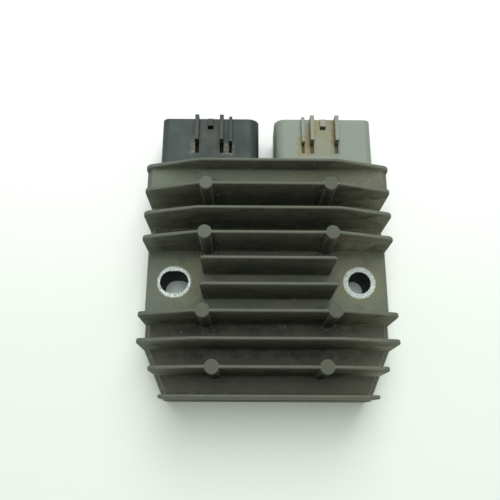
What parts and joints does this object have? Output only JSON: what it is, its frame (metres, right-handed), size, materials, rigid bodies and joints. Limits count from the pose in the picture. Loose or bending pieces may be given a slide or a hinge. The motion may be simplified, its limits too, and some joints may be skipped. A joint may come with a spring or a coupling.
{
  "type": "voltage regulator rectifier",
  "caption": "Voltage regulator rectifier with a finned die-cast aluminium case, bolt-down ears, a resin-filled back, and a black and a grey plug-in header at one end.",
  "frame": {"origin": "on the mounting face, midway between the two bolt holes", "axes": "+X from the slotted hole to the round hole, +Y towards the plug-in headers, +Z out of the mounting face towards the fins"},
  "size_m": [0.1046, 0.1246, 0.0395],
  "materials": {
    "painted_casting": "matt olive-grey paint on a rough casting",
    "black_moulding": "dusty moulded black",
    "grey_moulding": "stained moulded grey",
    "tin_plate": "tin plated",
    "ceramic_board": "matt white",
    "printed_board": "green solder mask",
    "device_moulding": "moulded black",
    "resistor_ceramic": "glazed",
    "capacitor_can": "drawn can",
    "potting_resin": "cast resin"
  },
  "bodies": {
    "root": {"heat_sink_casting": "painted_casting", "input_connector_housing": "black_moulding", "output_connector_housing": "grey_moulding", "power_substrate": "ceramic_board", "board_pins": "tin_plate", "control_board": "printed_board", "control_chip": "device_moulding", "gate_resistors": "resistor_ceramic", "filter_capacitor_1": "capacitor_can", "filter_capacitor_2": "capacitor_can", "potting_compound": "potting_resin", "input_terminal_1": "tin_plate", "input_terminal_2": "tin_plate", "input_terminal_3": "tin_plate", "output_terminal_1": "tin_plate", "output_terminal_2": "tin_plate", "power_switch_1": "device_moulding", "power_switch_2": "device_moulding", "power_switch_3": "device_moulding", "power_switch_4": "device_moulding", "power_switch_5": "device_moulding", "power_switch_6": "device_moulding"}
  },
  "joints": []
}
